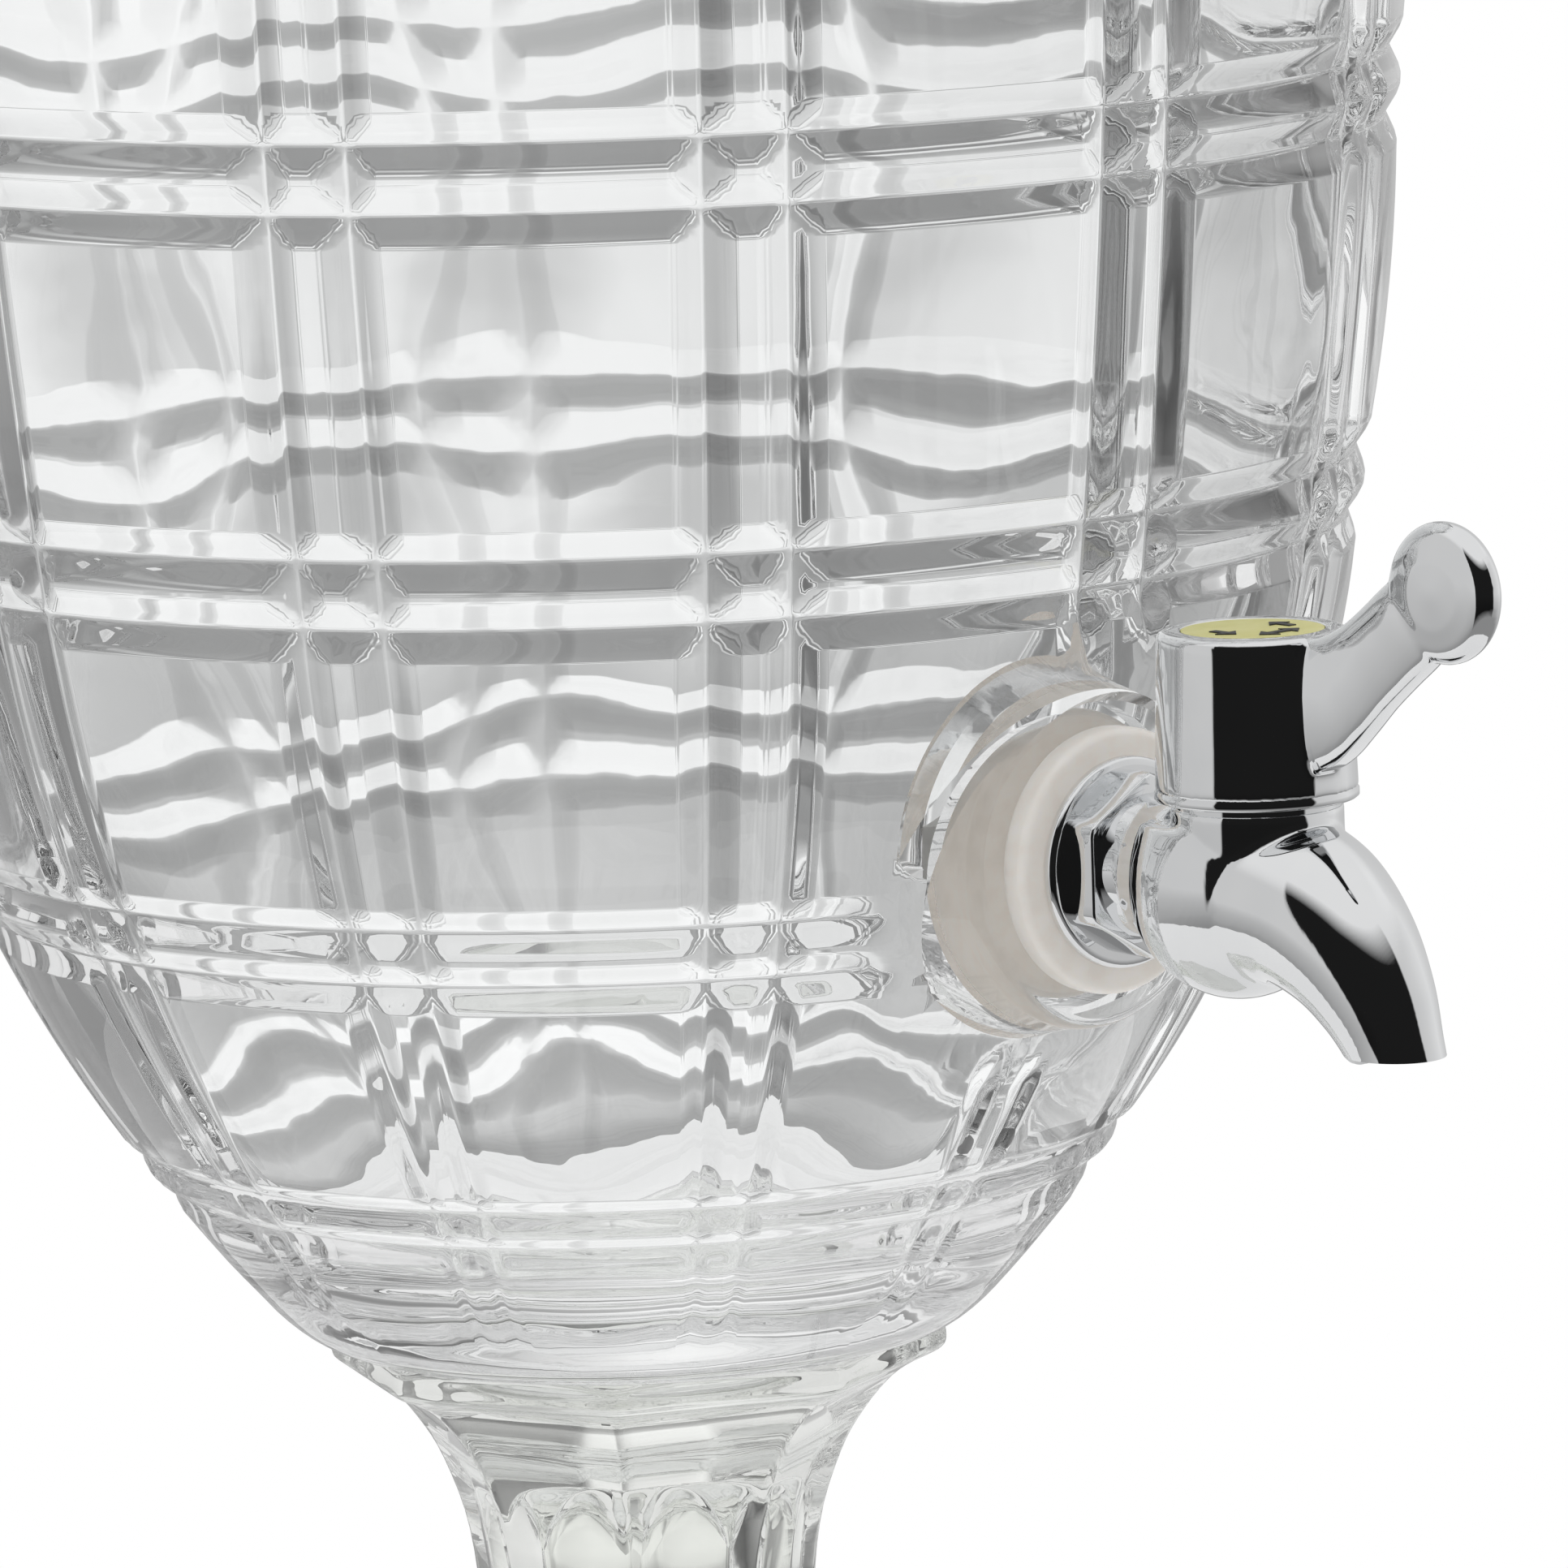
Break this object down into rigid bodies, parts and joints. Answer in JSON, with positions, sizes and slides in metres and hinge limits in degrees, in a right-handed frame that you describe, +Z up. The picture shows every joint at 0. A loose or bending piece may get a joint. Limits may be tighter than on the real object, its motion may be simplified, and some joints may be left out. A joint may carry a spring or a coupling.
{
  "type": "beverage dispenser",
  "caption": "Footed cut-glass drink dispenser: ovoid vessel with a windowpane cut, separate eight-sided stand, lift-off lid and a quarter-turn chrome tap.",
  "frame": {"origin": "centre of the underside of the stand's foot, on the vessel's upright axis", "axes": "+Z up along the vessel's axis, -Y towards the tap, +X to the right when facing the tap"},
  "size_m": [0.221, 0.2799, 0.479],
  "materials": {
    "stand_glass": "pressed, fire polished",
    "vessel_glass": "pressed and cut, fire polished",
    "lid_glass": "pressed, fire polished",
    "silicone": "translucent, satin",
    "nut_plastic": "moulded",
    "tap_chrome": "polished",
    "handle_chrome": "polished",
    "plug_plastic": "moulded",
    "ring_rubber": "smooth",
    "screw_steel": "plated",
    "disc_yellow": "satin",
    "arrow_ink": "printed"
  },
  "bodies": {
    "stand": {"stand": "stand_glass"},
    "vessel": {"vessel": "vessel_glass", "outer_washer": "silicone", "inner_washer": "silicone", "lock_nut": "nut_plastic", "tap_body": "tap_chrome"},
    "lid": {"lid": "lid_glass"},
    "handle": {"handle_cap": "handle_chrome", "valve_plug": "plug_plastic", "lower_o_ring": "ring_rubber", "upper_o_ring": "ring_rubber", "screw_washer": "screw_steel", "handle_screw": "screw_steel", "indicator_disc": "disc_yellow", "indicator_arrows": "arrow_ink"}
  },
  "joints": [
    {"name": "vessel_lift", "type": "slide", "parent": "stand", "child": "vessel", "axis": [0, 0, 1], "range_m": [0, 0.12]},
    {"name": "lid_lift", "type": "slide", "parent": "vessel", "child": "lid", "axis": [0, 0, 1], "range_m": [0, 0.12]},
    {"name": "handle_turn", "type": "hinge", "parent": "vessel", "child": "handle", "pos_m": [0, -0.1256, 0.206], "axis": [0, 0, 1], "range_deg": [-90, 90]}
  ]
}
